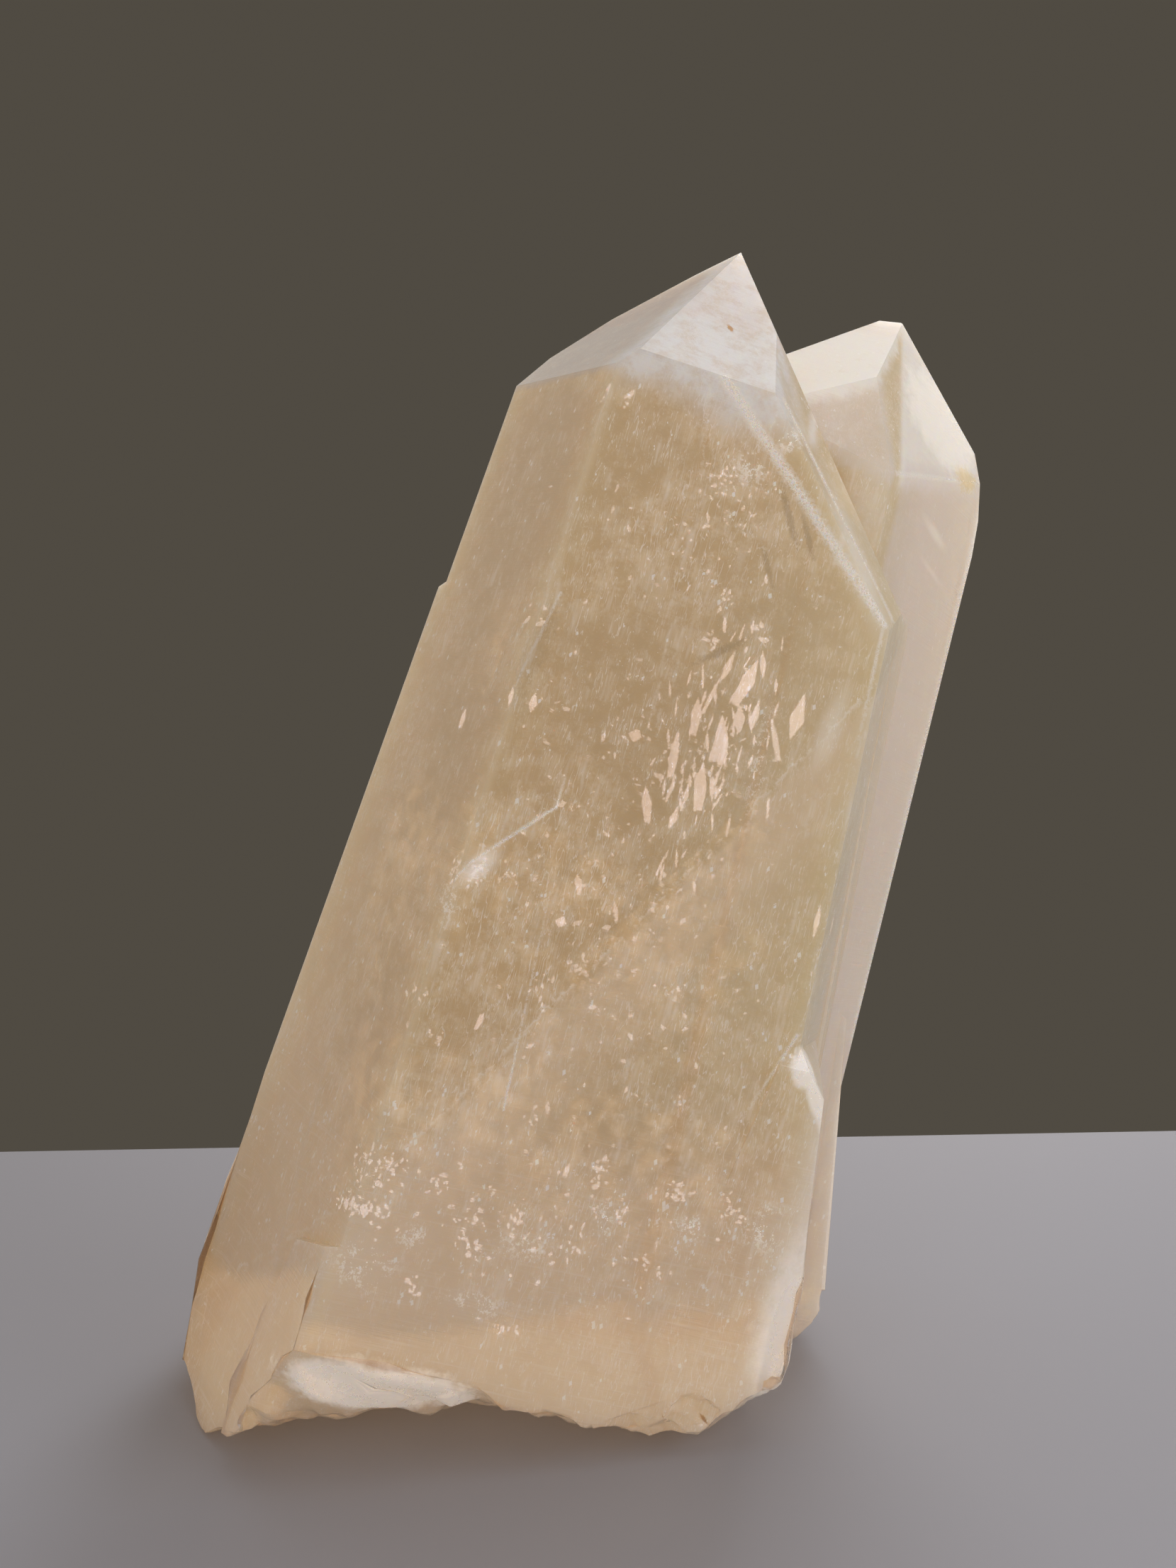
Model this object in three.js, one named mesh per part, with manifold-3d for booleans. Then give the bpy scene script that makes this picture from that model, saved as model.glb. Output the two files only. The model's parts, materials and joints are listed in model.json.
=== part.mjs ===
// Citrine crystal: a broad, slightly flattened quartz prism with a shorter crystal grown
// against its right side, a thin growth layer low on its left edge, a very small crystal low on its
// right edge, and a broken base that it stands on. It grew as one piece, so it is one solid.
// Millimetres, +Z up. The broad front face looks along -Y. The origin is the middle of the
// bounding box's underside, on the surface that the crystal stands on.
import * as THREE from "three";
import { ConvexGeometry } from "three/addons/geometries/ConvexGeometry.js";
import { mergeVertices } from "three/addons/utils/BufferGeometryUtils.js";
import Module from "manifold-3d";

const wasm = await Module();
wasm.setup();

// ---------- driving dimensions ----------

const leanRight = 16.5; // degrees the crystals' long axis leans to +X
const leanBack = 2.3; // degrees it leans to +Y
const frontTurn = 7.1; // degrees the front face is turned towards +X
const prismRise = 3.6; // degrees the prism faces taper towards the tip
const pyramidRise = 38.2; // degrees of quartz's pyramid faces above the prism faces
const reach = 400; // size of the block that the facets cut

// A facet is [azimuth, rise, distance]: azimuth in degrees round the long axis, from the front face
// and positive to the right, rise in degrees towards the tip, distance in mm from the axis foot.
const mainFaces = {
  front: [0, prismRise, 33.95],
  left: [-60, prismRise, 43.7],
  right: [60, prismRise, 44.3],
  rightBack: [120, prismRise, 36],
  back: [180, prismRise, 30],
  lowLeft: [-85.5, 0.2, 49.2],
  frontPyramid: [0, pyramidRise, 121.4],
  leftPyramid: [-60, pyramidRise, 127.3],
  rightPyramid: [60, 37.1, 113.3],
  leftBackPyramid: [-100, 38, 134.1],
  leftBackTip: [-115, 50.3, 158.2],
  backPyramid: [180, pyramidRise, 123.2],
  rightBackPyramid: [120, pyramidRise, 117.3],
};
const leftBackUpper = [-120, prismRise, 44.8];
const leftBackLower = [-120, prismRise, 46.6];
const upperLedge = [-120, 62, 130]; // the little shoulder where the left edge steps out
const lowestStep = [-120, prismRise, 47.2];
const lowestLedge = [-120, 62, 47.8];
// The chipped bevel between the front face and the right pyramid face, by its lower edge.
const bevel = { azimuth: 40, top: [23.8, 3.1, 162.5], foot: [25.4, 25.7, 137] };

const slabFaces = {
  left: [-60, prismRise, 45.4],
  front: mainFaces.front,
  upperStep: [-120, 10.3, 23],
  lowerStep: [-120, 2.1, 21.2],
  top: [-148.6, 70, 21.8],
  rightLimit: [90, 0, -18],
  back: [180, 0, 0],
};

const secondFaces = {
  front: [-4, 1, 13.6],
  rightFront: [42, 4.8, 39.25],
  side: [80, -0.5, 48.2],
  upperSide: [80, 16, 93.9],
  rightBack: [128, 2, 55],
  back: [178, 2, 26],
  left: [-75, 2, 5],
  frontPyramid: [1.3, 26.3, 84.4],
  rightPyramid: [33.2, 28, 98.1],
  topPyramid: [-17.7, 43.4, 123.4],
  sidePyramid: [90, 50.3, 171.7],
  leftPyramid: [-100, 43.9, 124.5],
  backPyramid: [178, 38, 134.5],
  rightBackPyramid: [128, 38, 158],
};
const bulgeFaces = {
  front: [4, 1, 9],
  side: [84, 10.2, 58],
  sideFoot: [84, 0, 54.3],
  top: [84, 60, 86],
  rightBack: [130, 4, 44],
  back: [180, 3, 24],
  left: [-90, 0, -20],
};
const smallFaces = {
  front: [0, 1.06, 31.9],
  left: [-75, 10, -5.6],
  rightUpper: [80, 8, 47.8],
  rightLower: [85, 0, 40.7],
  back: [180, 0, -4],
  frontPyramid: [0, 38, 65.7],
  leftPyramid: [-60, 40, 37.7],
  rightPyramid: [60, 40, 75.8],
};
// What the very small crystal stands on, level with the main front face.
const cornerFaces = {
  front: mainFaces.front,
  rightUpper: smallFaces.rightUpper,
  rightLower: smallFaces.rightLower,
  top: [30, 70, 62],
  left: [-90, 0, -15],
  back: [180, 0, -4],
};

// The axis foot's place in the frame that the broken base is laid out in. Its floor is z = 0, and
// its X and Y are those of the part.
const axisFoot = new THREE.Vector3(-20, 190, 0);

// The broken base. The front edge hangs clear of the floor by these [x, height] knots.
const frontEdge = [
  [-62, 10.5], [-45, 12.3], [-30, 12.4], [-16, 11.7], [-8.5, 9.7], [-4, 7.7], [3, 5.4], [8, 4.3],
  [13.5, 4.4], [18.7, 5.5], [22, 8.1], [26, 9.6], [36, 14],
];
const frontLineY = 159.1; // where the front face meets the floor at x = 0
const frontLineSlope = 0.142; // how far that line runs back for each mm to the right
const undercutRun = 1.35; // how far the undercut runs back, as a share of its height
const undercutMin = 4;
// Round the rest, the fracture rises outside each line: [x, y, outward angle in degrees, slope].
const fractureLines = [
  [14, 167, -41, 0.8],
  [34, 190, 18, 0.75],
  [6, 214, 82, 0.6],
  [-52, 205, 148, 0.55],
  [-62.5, 174, 176, 0.9],
];
const fractureCell = 4.6;
const fractureRoughness = 0.55;

// Chips broken out of the faces along the base: centre, radii and turn about Z in degrees.
const chips = [
  { at: [-47.5, 149.2, 13], radii: [8, 4.4, 6.5], turn: 14 },
  { at: [-40.5, 150.6, 9], radii: [6.5, 4, 5], turn: 6 },
  { at: [6, 157.7, 4], radii: [9.5, 3.6, 6.4], turn: 8 },
  { at: [13.5, 159, 7.5], radii: [6, 3, 4.2], turn: 12 },
  { at: [25.5, 160.3, 7.5], radii: [4.6, 3.4, 8], turn: 24 },
];
// The milky ledge low on the front face, a bevel that runs back and down from this line.
const ledgeLine = { left: [-44.6, 153.6, 21.4], right: [-18.1, 156.8, 14], slope: 66 };

// ---------- helpers ----------

const radians = THREE.MathUtils.degToRad;

// The crystals' axes: z along their length, x out of the front face, y to the right.
const axisZ = new THREE.Vector3(
  Math.tan(radians(leanRight)),
  Math.tan(radians(leanBack)),
  1,
).normalize();
const axisX = new THREE.Vector3(Math.sin(radians(frontTurn)), -Math.cos(radians(frontTurn)), 0);
axisX.addScaledVector(axisZ, -axisX.dot(axisZ)).normalize();
const axisY = new THREE.Vector3().crossVectors(axisZ, axisX);
const crystalFrame = new THREE.Matrix4().makeBasis(axisX, axisY, axisZ).setPosition(axisFoot);

function solidOf(geometry) {
  const bare = geometry.clone();
  bare.deleteAttribute("normal");
  bare.deleteAttribute("uv");
  const merged = mergeVertices(bare, 1e-4);
  return new wasm.Manifold(
    new wasm.Mesh({
      numProp: 3,
      vertProperties: merged.attributes.position.array,
      triVerts: new Uint32Array(merged.index.array),
    }),
  );
}

function facetNormal(azimuth, rise) {
  const a = radians(azimuth);
  const e = radians(rise);
  return new THREE.Vector3(Math.cos(e) * Math.cos(a), Math.cos(e) * Math.sin(a), Math.sin(e));
}

// The convex body behind all the planes: its corners are the points where three planes meet and
// that no other plane cuts off.
function bodyBehind(planes) {
  const walls = [[1, 0, 0], [-1, 0, 0], [0, 1, 0], [0, -1, 0], [0, 0, 1], [0, 0, -1]];
  const all = [
    ...planes,
    ...walls.map((w) => ({ normal: new THREE.Vector3(...w), distance: reach })),
  ];
  const corners = [];
  for (let i = 0; i < all.length; i++)
    for (let j = i + 1; j < all.length; j++)
      for (let k = j + 1; k < all.length; k++) {
        const [a, b, c] = [all[i], all[j], all[k]];
        const bc = new THREE.Vector3().crossVectors(b.normal, c.normal);
        const volume = a.normal.dot(bc);
        if (Math.abs(volume) < 1e-6) continue;
        const corner = bc
          .multiplyScalar(a.distance)
          .addScaledVector(new THREE.Vector3().crossVectors(c.normal, a.normal), b.distance)
          .addScaledVector(new THREE.Vector3().crossVectors(a.normal, b.normal), c.distance)
          .divideScalar(volume);
        const kept = all.every((p) => p.normal.dot(corner) <= p.distance + 1e-5);
        if (kept && !corners.some((q) => q.distanceTo(corner) < 1e-3)) corners.push(corner);
      }
  return new ConvexGeometry(corners);
}

// A crystal from its facets, above a bottom that the broken base cuts away later.
function crystalFrom(facets, bottom = -30) {
  const planes = facets.map(([azimuth, rise, distance]) => ({
    normal: facetNormal(azimuth, rise),
    distance,
  }));
  planes.push({ normal: new THREE.Vector3(0, 0, -1), distance: -bottom });
  return solidOf(bodyBehind(planes).applyMatrix4(crystalFrame));
}

// The facet of a given azimuth that holds the line through two points.
function facetThrough({ azimuth, top, foot }) {
  const start = new THREE.Vector3(...foot);
  const along = new THREE.Vector3(...top).sub(start);
  const flat = facetNormal(azimuth, 0);
  const rise = THREE.MathUtils.radToDeg(Math.atan(-flat.dot(along) / along.z));
  return [azimuth, rise, facetNormal(azimuth, rise).dot(start)];
}

// ---------- the grown crystals ----------

const mainCommon = [...Object.values(mainFaces), facetThrough(bevel)];
let grown = crystalFrom([...mainCommon, leftBackUpper])
  .add(crystalFrom([...mainCommon, leftBackLower, upperLedge]))
  .add(crystalFrom([...mainCommon, lowestStep, lowestLedge]));
for (const faces of [slabFaces, secondFaces, bulgeFaces, smallFaces, cornerFaces])
  grown = grown.add(crystalFrom(Object.values(faces)));

// ---------- the broken base ----------

const between = THREE.MathUtils.mapLinear;

function knotHeight(knots, x) {
  const next = knots.findIndex(([knotX]) => knotX > x);
  if (next === 0) return knots[0][1];
  if (next < 0) return knots[knots.length - 1][1];
  const [[x0, h0], [x1, h1]] = [knots[next - 1], knots[next]];
  return between(x, x0, x1, h0, h1);
}

// Height of the broken surface above the floor: zero where the crystal touches it.
function fractureHeight(x, y) {
  const edge = knotHeight(frontEdge, x);
  const back = y - (frontLineY + frontLineSlope * x);
  let height = edge * (1 - back / (undercutMin + undercutRun * edge));
  for (const [lineX, lineY, angle, slope] of fractureLines) {
    const outX = Math.cos(radians(angle));
    const outY = Math.sin(radians(angle));
    height = Math.max(height, slope * ((x - lineX) * outX + (y - lineY) * outY));
  }
  if (height <= 0) return 0;
  const ripple = Math.sin(0.61 * x + 0.35 * y) + Math.sin(0.43 * y - 0.29 * x + 1.7);
  return Math.max(0, height + fractureRoughness * ripple * Math.min(1, height / 3));
}

function brokenGround() {
  const low = { x: -104, y: 132 };
  const high = { x: 66, y: 246 };
  const depth = 90;
  const [width, length] = [high.x - low.x, high.y - low.y];
  const [across, along] = [width, length].map((size) => Math.round(size / fractureCell));
  const block = new THREE.BoxGeometry(width, length, depth, across, along, 1);
  block.translate((low.x + high.x) / 2, (low.y + high.y) / 2, -depth / 2);
  const place = block.attributes.position;
  for (let i = 0; i < place.count; i++) {
    if (place.getZ(i) < -1) continue;
    let [x, y] = [place.getX(i), place.getY(i)];
    const inside = x > low.x + 1 && x < high.x - 1 && y > low.y + 1 && y < high.y - 1;
    if (inside) {
      const shift = 0.28 * fractureCell; // breaks up the even rows
      [x, y] = [x + shift * Math.sin(1.9 * x + 2.7 * y), y + shift * Math.sin(2.3 * x - 1.7 * y + 1)];
    }
    place.setXYZ(i, x, y, fractureHeight(x, y));
  }
  return solidOf(block);
}

function chip({ at, radii, turn }) {
  const lump = new THREE.IcosahedronGeometry(1, 1);
  lump.scale(...radii);
  lump.rotateX(0.3);
  lump.rotateZ(radians(turn));
  lump.translate(...at);
  return solidOf(lump);
}

// The block in front of the ledge: its inner face runs from the ledge line back and down.
function ledgeBlock() {
  const left = new THREE.Vector3(...ledgeLine.left);
  const along = new THREE.Vector3(...ledgeLine.right).sub(left).normalize();
  const down = new THREE.Vector3(0, Math.cos(radians(ledgeLine.slope)), -Math.sin(radians(ledgeLine.slope)));
  const normal = new THREE.Vector3().crossVectors(along, down).normalize(); // faces into the crystal
  if (normal.y < 0) normal.negate();
  return solidOf(
    bodyBehind([
      { normal, distance: normal.dot(left) },
      { normal: new THREE.Vector3(-1, 0, 0.35).normalize(), distance: 52 },
      { normal: new THREE.Vector3(0.62, 0, 0.78).normalize(), distance: -0.25 },
      { normal: new THREE.Vector3(0, -1, 0), distance: -130 },
      { normal: new THREE.Vector3(0, 0, -1), distance: 20 },
      { normal: new THREE.Vector3(0, 0, 1), distance: 40 },
    ]),
  );
}

const broken = [brokenGround(), ledgeBlock(), ...chips.map(chip)].reduce(
  (left, cutter) => left.subtract(cutter),
  grown,
);
const { min, max } = broken.boundingBox();
const body = broken.translate([-(min[0] + max[0]) / 2, -(min[1] + max[1]) / 2, -min[2]]);

function meshOf(solid, name, material) {
  const { vertProperties, triVerts } = solid.getMesh();
  const geometry = new THREE.BufferGeometry();
  geometry.setAttribute("position", new THREE.BufferAttribute(vertProperties, 3));
  geometry.setIndex(new THREE.BufferAttribute(triVerts, 1));
  geometry.computeVertexNormals();
  const mesh = new THREE.Mesh(geometry, material);
  mesh.name = name;
  return mesh;
}

const honey = new THREE.MeshStandardMaterial({ color: 0xc6ae8c, roughness: 0.25, metalness: 0 });
const crystal = meshOf(body, "citrine_crystal", honey);
const part = new THREE.Group();
part.add(crystal);

export default part;
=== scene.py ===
# Citrine crystal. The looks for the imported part, in metres, in the part's own frame.
# The crystal stands on its broken base, its broad front face looks along -Y and it leans to +X.
import bpy
import json
import math
import random
from mathutils import Matrix, Vector

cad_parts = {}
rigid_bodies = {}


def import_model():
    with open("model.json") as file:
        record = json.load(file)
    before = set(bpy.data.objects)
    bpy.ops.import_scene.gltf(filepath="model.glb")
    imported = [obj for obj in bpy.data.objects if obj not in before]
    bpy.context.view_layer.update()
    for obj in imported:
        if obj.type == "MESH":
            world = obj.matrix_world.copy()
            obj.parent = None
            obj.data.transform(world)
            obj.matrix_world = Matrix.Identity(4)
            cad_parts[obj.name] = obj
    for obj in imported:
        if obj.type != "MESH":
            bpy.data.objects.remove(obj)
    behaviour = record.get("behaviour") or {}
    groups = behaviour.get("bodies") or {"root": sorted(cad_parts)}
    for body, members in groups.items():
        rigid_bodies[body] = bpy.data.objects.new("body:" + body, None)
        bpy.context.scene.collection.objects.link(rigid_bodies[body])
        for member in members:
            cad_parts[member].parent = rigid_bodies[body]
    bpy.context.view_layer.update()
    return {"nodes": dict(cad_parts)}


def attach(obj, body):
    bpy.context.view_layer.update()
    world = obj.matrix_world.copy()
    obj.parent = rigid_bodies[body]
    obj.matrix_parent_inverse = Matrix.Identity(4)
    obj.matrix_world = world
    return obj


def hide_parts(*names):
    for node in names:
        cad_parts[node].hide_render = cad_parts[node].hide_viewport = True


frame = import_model()
print("stage: frame loaded")


def dropSelection():
    if bpy.context.object and bpy.context.object.mode != "OBJECT":
        bpy.ops.object.mode_set(mode="OBJECT")
    bpy.ops.object.select_all(action="DESELECT")


def makeActive(piece):
    dropSelection()
    piece.select_set(True)
    bpy.context.view_layer.objects.active = piece


def openMesh(piece, mode="FACE"):
    makeActive(piece)
    bpy.ops.object.mode_set(mode="EDIT")
    bpy.ops.mesh.select_mode(type=mode)
    bpy.ops.mesh.select_all(action="DESELECT")


def closeMesh():
    bpy.ops.object.mode_set(mode="OBJECT")


def applyPlace():
    bpy.ops.object.transform_apply(location=True, rotation=True, scale=True)


def pickFaces(piece, wanted):
    # Selects the faces that wanted says yes to, and leaves edit mode open in face mode.
    openMesh(piece)
    closeMesh()
    for face in piece.data.polygons:
        face.select = wanted(face)
    bpy.ops.object.mode_set(mode="EDIT")


def pushSurface(piece, name, pattern, size, middle, strength, detail=None, group=""):
    # A fixed pattern pushes the surface in and out.
    texture = bpy.data.textures.new(name, pattern)
    texture.noise_scale = size
    if detail:
        texture.noise_depth = detail
    modifier = piece.modifiers.new(name, "DISPLACE")
    modifier.texture = texture
    modifier.texture_coords = "LOCAL"
    modifier.vertex_group = group
    modifier.mid_level = middle
    modifier.strength = strength
    makeActive(piece)
    bpy.ops.object.modifier_apply(modifier=name)


# z runs along the crystals, x out of the broad front face and y to the right, in mm.
axes = {
    "leanRight": 16.5,
    "leanBack": 2.3,
    "frontTurn": 7.1,
    "foot": (-22.96, 1.99, 0.07),
}


def crystalTurn():
    along = Vector((
        math.tan(math.radians(axes["leanRight"])),
        math.tan(math.radians(axes["leanBack"])),
        1.0,
    )).normalized()
    turn = math.radians(axes["frontTurn"])
    outward = Vector((math.sin(turn), -math.cos(turn), 0.0))
    outward = (outward - along * outward.dot(along)).normalized()
    return Matrix((outward, along.cross(outward), along))


toCrystal = crystalTurn()
footPlace = Vector(axes["foot"])


def inPart(x, y, z):
    # A place in the crystal's axes, in mm, as a place in the part's frame, in metres.
    return (toCrystal.transposed() @ Vector((x, y, z)) + footPlace) / 1000


def facetNormal(azimuth, rise):
    a, e = math.radians(azimuth), math.radians(rise)
    return Vector((math.cos(e) * math.cos(a), math.cos(e) * math.sin(a), math.sin(e)))


camera = {
    "place": (-0.00296, -0.18801, 0.10607),
    "pitchDown": 2.07,
    "roll": 1.02,
    "lens": 25.453,
    "sensor": 36.0,
    "nearClip": 0.01,
}


def addCamera():
    pitch, roll = math.radians(camera["pitchDown"]), math.radians(camera["roll"])
    cosRoll, sinRoll = math.cos(roll), math.sin(roll)
    cosPitch, sinPitch = math.cos(pitch), math.sin(pitch)
    right = Vector((cosRoll, -sinRoll * sinPitch, -sinRoll * cosPitch))
    forward = Vector((0.0, cosPitch, -sinPitch))
    up = Vector((sinRoll, cosRoll * sinPitch, cosRoll * cosPitch))
    dropSelection()
    bpy.ops.object.camera_add()
    view = bpy.context.object
    view.name = "viewCamera"
    turn = Matrix((right, up, -forward)).transposed().to_4x4()
    view.matrix_world = Matrix.Translation(Vector(camera["place"])) @ turn
    view.data.sensor_fit = "VERTICAL"
    view.data.sensor_height = camera["sensor"]
    view.data.sensor_width = camera["sensor"]
    view.data.lens = camera["lens"]
    view.data.clip_start = camera["nearClip"]
    bpy.context.scene.camera = view


addCamera()
print("stage: camera placed")


crystal = {
    "mergeGap": 2e-6,
    "flatAngle": 0.5,
    "edgeBevel": 0.0003,
    "edgeSegments": 2,
    "crispAngle": 5,  # degrees between two facets, from which their edge gets a round
    "broadFace": 6e-6,  # square metres
    "footTop": 0.0004,  # below this height is the flat that the crystal stands on
    "footFacing": -0.99,
    "smallFace": 45e-6,  # square metres: what is smaller, low down, is fracture
    "fractureTop": 0.030,
    "ledgeFront": -0.02,  # the overhang in front of this y is fracture too
    "ledgeFacing": -0.3,
    "fractureCuts": 5,
    "fractureSmooth": 0.3,
    "splitFace": 4e-6,  # square metres: larger faces are whole facets
    "fadeHeight": 0.0045,  # the relief grows to its full strength over this height
    "rimShare": 0.25,  # and is weaker where the fracture meets a facet
    "smoothAngle": 32,
    "facetWeight": 100,
    # pattern, its size, the level that stays in place, strength and, for clouds, their detail
    "relief": {
        "shellBreaks": ("VORONOI", 0.0060, 0.4, 0.0024),
        "fineBreaks": ("CLOUDS", 0.0018, 0.5, 0.0004, 3),
    },
}


def isFracture(face):
    if face.center.z < crystal["footTop"] and face.normal.z < crystal["footFacing"]:
        return False
    low = face.center.z < crystal["fractureTop"]
    overhang = face.normal.z < crystal["ledgeFacing"] and face.center.y < crystal["ledgeFront"]
    return low and (face.area < crystal["smallFace"] or overhang)


def facesByEdge(mesh):
    found = {}
    for face in mesh.polygons:
        for key in face.edge_keys:
            found.setdefault(key, []).append(face)
    return found


def makeCrystal():
    makeActive(frame["nodes"]["citrine_crystal"])
    bpy.ops.object.duplicate()
    piece = bpy.context.object
    piece.name = "quartzCrystal"
    piece.data.name = "quartzCrystal"
    bpy.ops.object.parent_clear(type="CLEAR_KEEP_TRANSFORM")
    for key in list(piece.keys()):
        del piece[key]

    openMesh(piece)
    bpy.ops.mesh.select_all(action="SELECT")
    bpy.ops.mesh.remove_doubles(threshold=crystal["mergeGap"])
    bpy.ops.mesh.dissolve_limited(angle_limit=math.radians(crystal["flatAngle"]))
    closeMesh()
    print("stage: crystal merged,", len(piece.data.polygons), "faces")

    # The crisp edges between grown facets get a very small round.
    openMesh(piece, "EDGE")
    closeMesh()
    mesh = piece.data
    beside = facesByEdge(mesh)
    count = 0
    for edge in mesh.edges:
        pair = beside.get(edge.key, [])
        if len(pair) != 2:
            continue
        first, second = pair
        crisp = first.normal.angle(second.normal) > math.radians(crystal["crispAngle"])
        grown = not isFracture(first) and not isFracture(second)
        broad = min(first.area, second.area) > crystal["broadFace"]
        high = min(first.center.z, second.center.z) > crystal["footTop"]
        if crisp and grown and broad and high:
            edge.select = True
            count += 1
    bpy.ops.object.mode_set(mode="EDIT")
    bpy.ops.mesh.bevel(
        offset=crystal["edgeBevel"], offset_type="OFFSET", segments=crystal["edgeSegments"],
        profile=0.5, affect="EDGES", clamp_overlap=True,
    )
    closeMesh()
    print("stage:", count, "facet edges rounded")

    # The broken base is split fine enough to carry its shell-like relief.
    pickFaces(piece, isFracture)
    bpy.ops.mesh.quads_convert_to_tris()
    bpy.ops.mesh.subdivide(number_cuts=crystal["fractureCuts"], smoothness=crystal["fractureSmooth"])
    bpy.ops.mesh.quads_convert_to_tris()
    closeMesh()
    relieve(piece)
    print("stage: fracture relief done,", len(piece.data.polygons), "faces")
    return piece


def relieve(piece):
    # Shell-like breaks on the fracture, fading out where it meets the flat foot and the facets.
    mesh = piece.data
    counts = {}
    for face in mesh.polygons:
        broken = face.area < crystal["splitFace"] and face.center.z < crystal["fractureTop"]
        for index in face.vertices:
            whole, loose = counts.get(index, (0, 0))
            counts[index] = (whole + (not broken), loose + broken)
    group = piece.vertex_groups.new(name="broken")
    for index, (whole, loose) in counts.items():
        height = mesh.vertices[index].co.z
        if loose and height > crystal["footTop"]:
            weight = min(1.0, height / crystal["fadeHeight"])
            weight *= crystal["rimShare"] if whole else 1.0
            group.add([index], weight, "REPLACE")
    for name, facts in crystal["relief"].items():
        pushSurface(piece, name, *facts, group="broken")
    piece.vertex_groups.clear()
    for vertex in mesh.vertices:  # nothing reaches below the foot
        vertex.co.z = max(vertex.co.z, 0.0)


def finishNormals(piece):
    # Wide facets stay flat to the eye and only the fine rounds between them catch a line of light.
    makeActive(piece)
    bpy.ops.object.shade_smooth_by_angle(angle=math.radians(crystal["smoothAngle"]))
    modifier = piece.modifiers.new("wideFacets", "WEIGHTED_NORMAL")
    modifier.mode = "FACE_AREA"
    modifier.weight = crystal["facetWeight"]
    modifier.keep_sharp = True
    bpy.ops.object.modifier_apply(modifier=modifier.name)


quartzCrystal = makeCrystal()
finishNormals(quartzCrystal)

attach(quartzCrystal, "root")
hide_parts("citrine_crystal")


def freshTree(material):
    material.use_nodes = True
    tree = material.node_tree
    tree.nodes.clear()
    return tree


def plug(tree, socket, what):
    # A socket goes in as a link, anything else as a plain value.
    if hasattr(what, "is_linked"):
        tree.links.new(what, socket)
    else:
        socket.default_value = what


def addNode(tree, kind, sockets=None, **settings):
    made = tree.nodes.new(kind)
    for name, setting in settings.items():
        setattr(made, name, setting)
    for name, what in (sockets or {}).items():
        plug(tree, made.inputs[name], what)
    return made


def number(tree, operation, *inputs, clamp=False):
    made = addNode(tree, "ShaderNodeMath", operation=operation, use_clamp=clamp)
    for socket, what in zip(made.inputs, inputs):
        plug(tree, socket, what)
    return made.outputs[0]


def blendShaders(tree, amount, first, second):
    return addNode(tree, "ShaderNodeMixShader", sockets={
        0: amount, 1: first.outputs[0], 2: second.outputs[0],
    })


def showSurface(tree, shader, kind="ShaderNodeOutputMaterial"):
    return addNode(tree, kind, sockets={"Surface": shader.outputs[0]})


def times(tree, first, second):
    return number(tree, "MULTIPLY", first, second)


def largest(tree, masks):
    found = 0.0
    for mask in masks:
        found = number(tree, "MAXIMUM", mask, found)
    return found


def vector(tree, operation, *inputs, out=0):
    made = addNode(tree, "ShaderNodeVectorMath", operation=operation)
    for socket, what in zip(made.inputs, inputs):
        plug(tree, socket, what)
    return made.outputs[out]


def ramp(tree, source, low, high, start=0.0, end=1.0):
    made = addNode(tree, "ShaderNodeMapRange", interpolation_type="SMOOTHSTEP", sockets={
        "Value": source, "From Min": low, "From Max": high, "To Min": start, "To Max": end,
    })
    return made.outputs["Result"]


def blendColour(tree, amount, first, second):
    made = addNode(tree, "ShaderNodeMix", data_type="RGBA", blend_type="MIX", clamp_factor=True)
    for index, what in ((0, amount), (6, first), (7, second)):
        plug(tree, made.inputs[index], what)
    return made.outputs[2]


def remap(tree, place, stretch, turn):
    return addNode(tree, "ShaderNodeMapping", vector_type="POINT", sockets={
        "Vector": place, "Scale": stretch, "Rotation": turn,
    }).outputs[0]


def noise(tree, place, scale, detail, roughness, stretch=None, turn=None, distortion=0.0):
    # Scale is in features for each mm, and stretch and turn give the pattern a grain.
    if stretch:
        place = remap(tree, place, stretch, turn)
    return addNode(tree, "ShaderNodeTexNoise", sockets={
        "Vector": place, "Scale": scale, "Detail": detail, "Roughness": roughness,
        "Distortion": distortion,
    }).outputs["Fac"]


def startGroup(name, places, values):
    # A group that takes these places and values and puts out one mask.
    group = bpy.data.node_groups.new(name, "ShaderNodeTree")
    for labels, kind in ((places, "NodeSocketVector"), (values, "NodeSocketFloat")):
        for label in labels:
            group.interface.new_socket(name=label, in_out="INPUT", socket_type=kind)
    group.interface.new_socket(name="Mask", in_out="OUTPUT", socket_type="NodeSocketFloat")
    given = group.nodes.new("NodeGroupInput").outputs
    return group, given, group.nodes.new("NodeGroupOutput").inputs["Mask"]


def groupMask(tree, group, sockets):
    made = tree.nodes.new("ShaderNodeGroup")
    made.node_tree = group
    for name, what in sockets.items():
        plug(tree, made.inputs[name], what)
    return made.outputs["Mask"]


# The share of a mark's width or depth that is full before it fades.
fullShare = {"line": 0.25, "facet": 0.05}


def makePatchGroup():
    # An egg-shaped soft patch with a wavering edge: 1 at its middle, 0 outside. Millimetres.
    group, given, mask = startGroup("softPatch", ("Place", "Centre", "Size", "Turn"), ("Edge", "Shake"))
    local = addNode(group, "ShaderNodeMapping", vector_type="TEXTURE", sockets={
        "Vector": given["Place"], "Location": given["Centre"], "Rotation": given["Turn"],
        "Scale": given["Size"],
    }).outputs[0]
    reach = number(group, "ADD", vector(group, "LENGTH", local, out=1), given["Shake"])
    inner = number(group, "SUBTRACT", 1.0, given["Edge"])
    plug(group, mask, ramp(group, reach, inner, 1.0, 1.0, 0.0))
    return group


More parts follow.
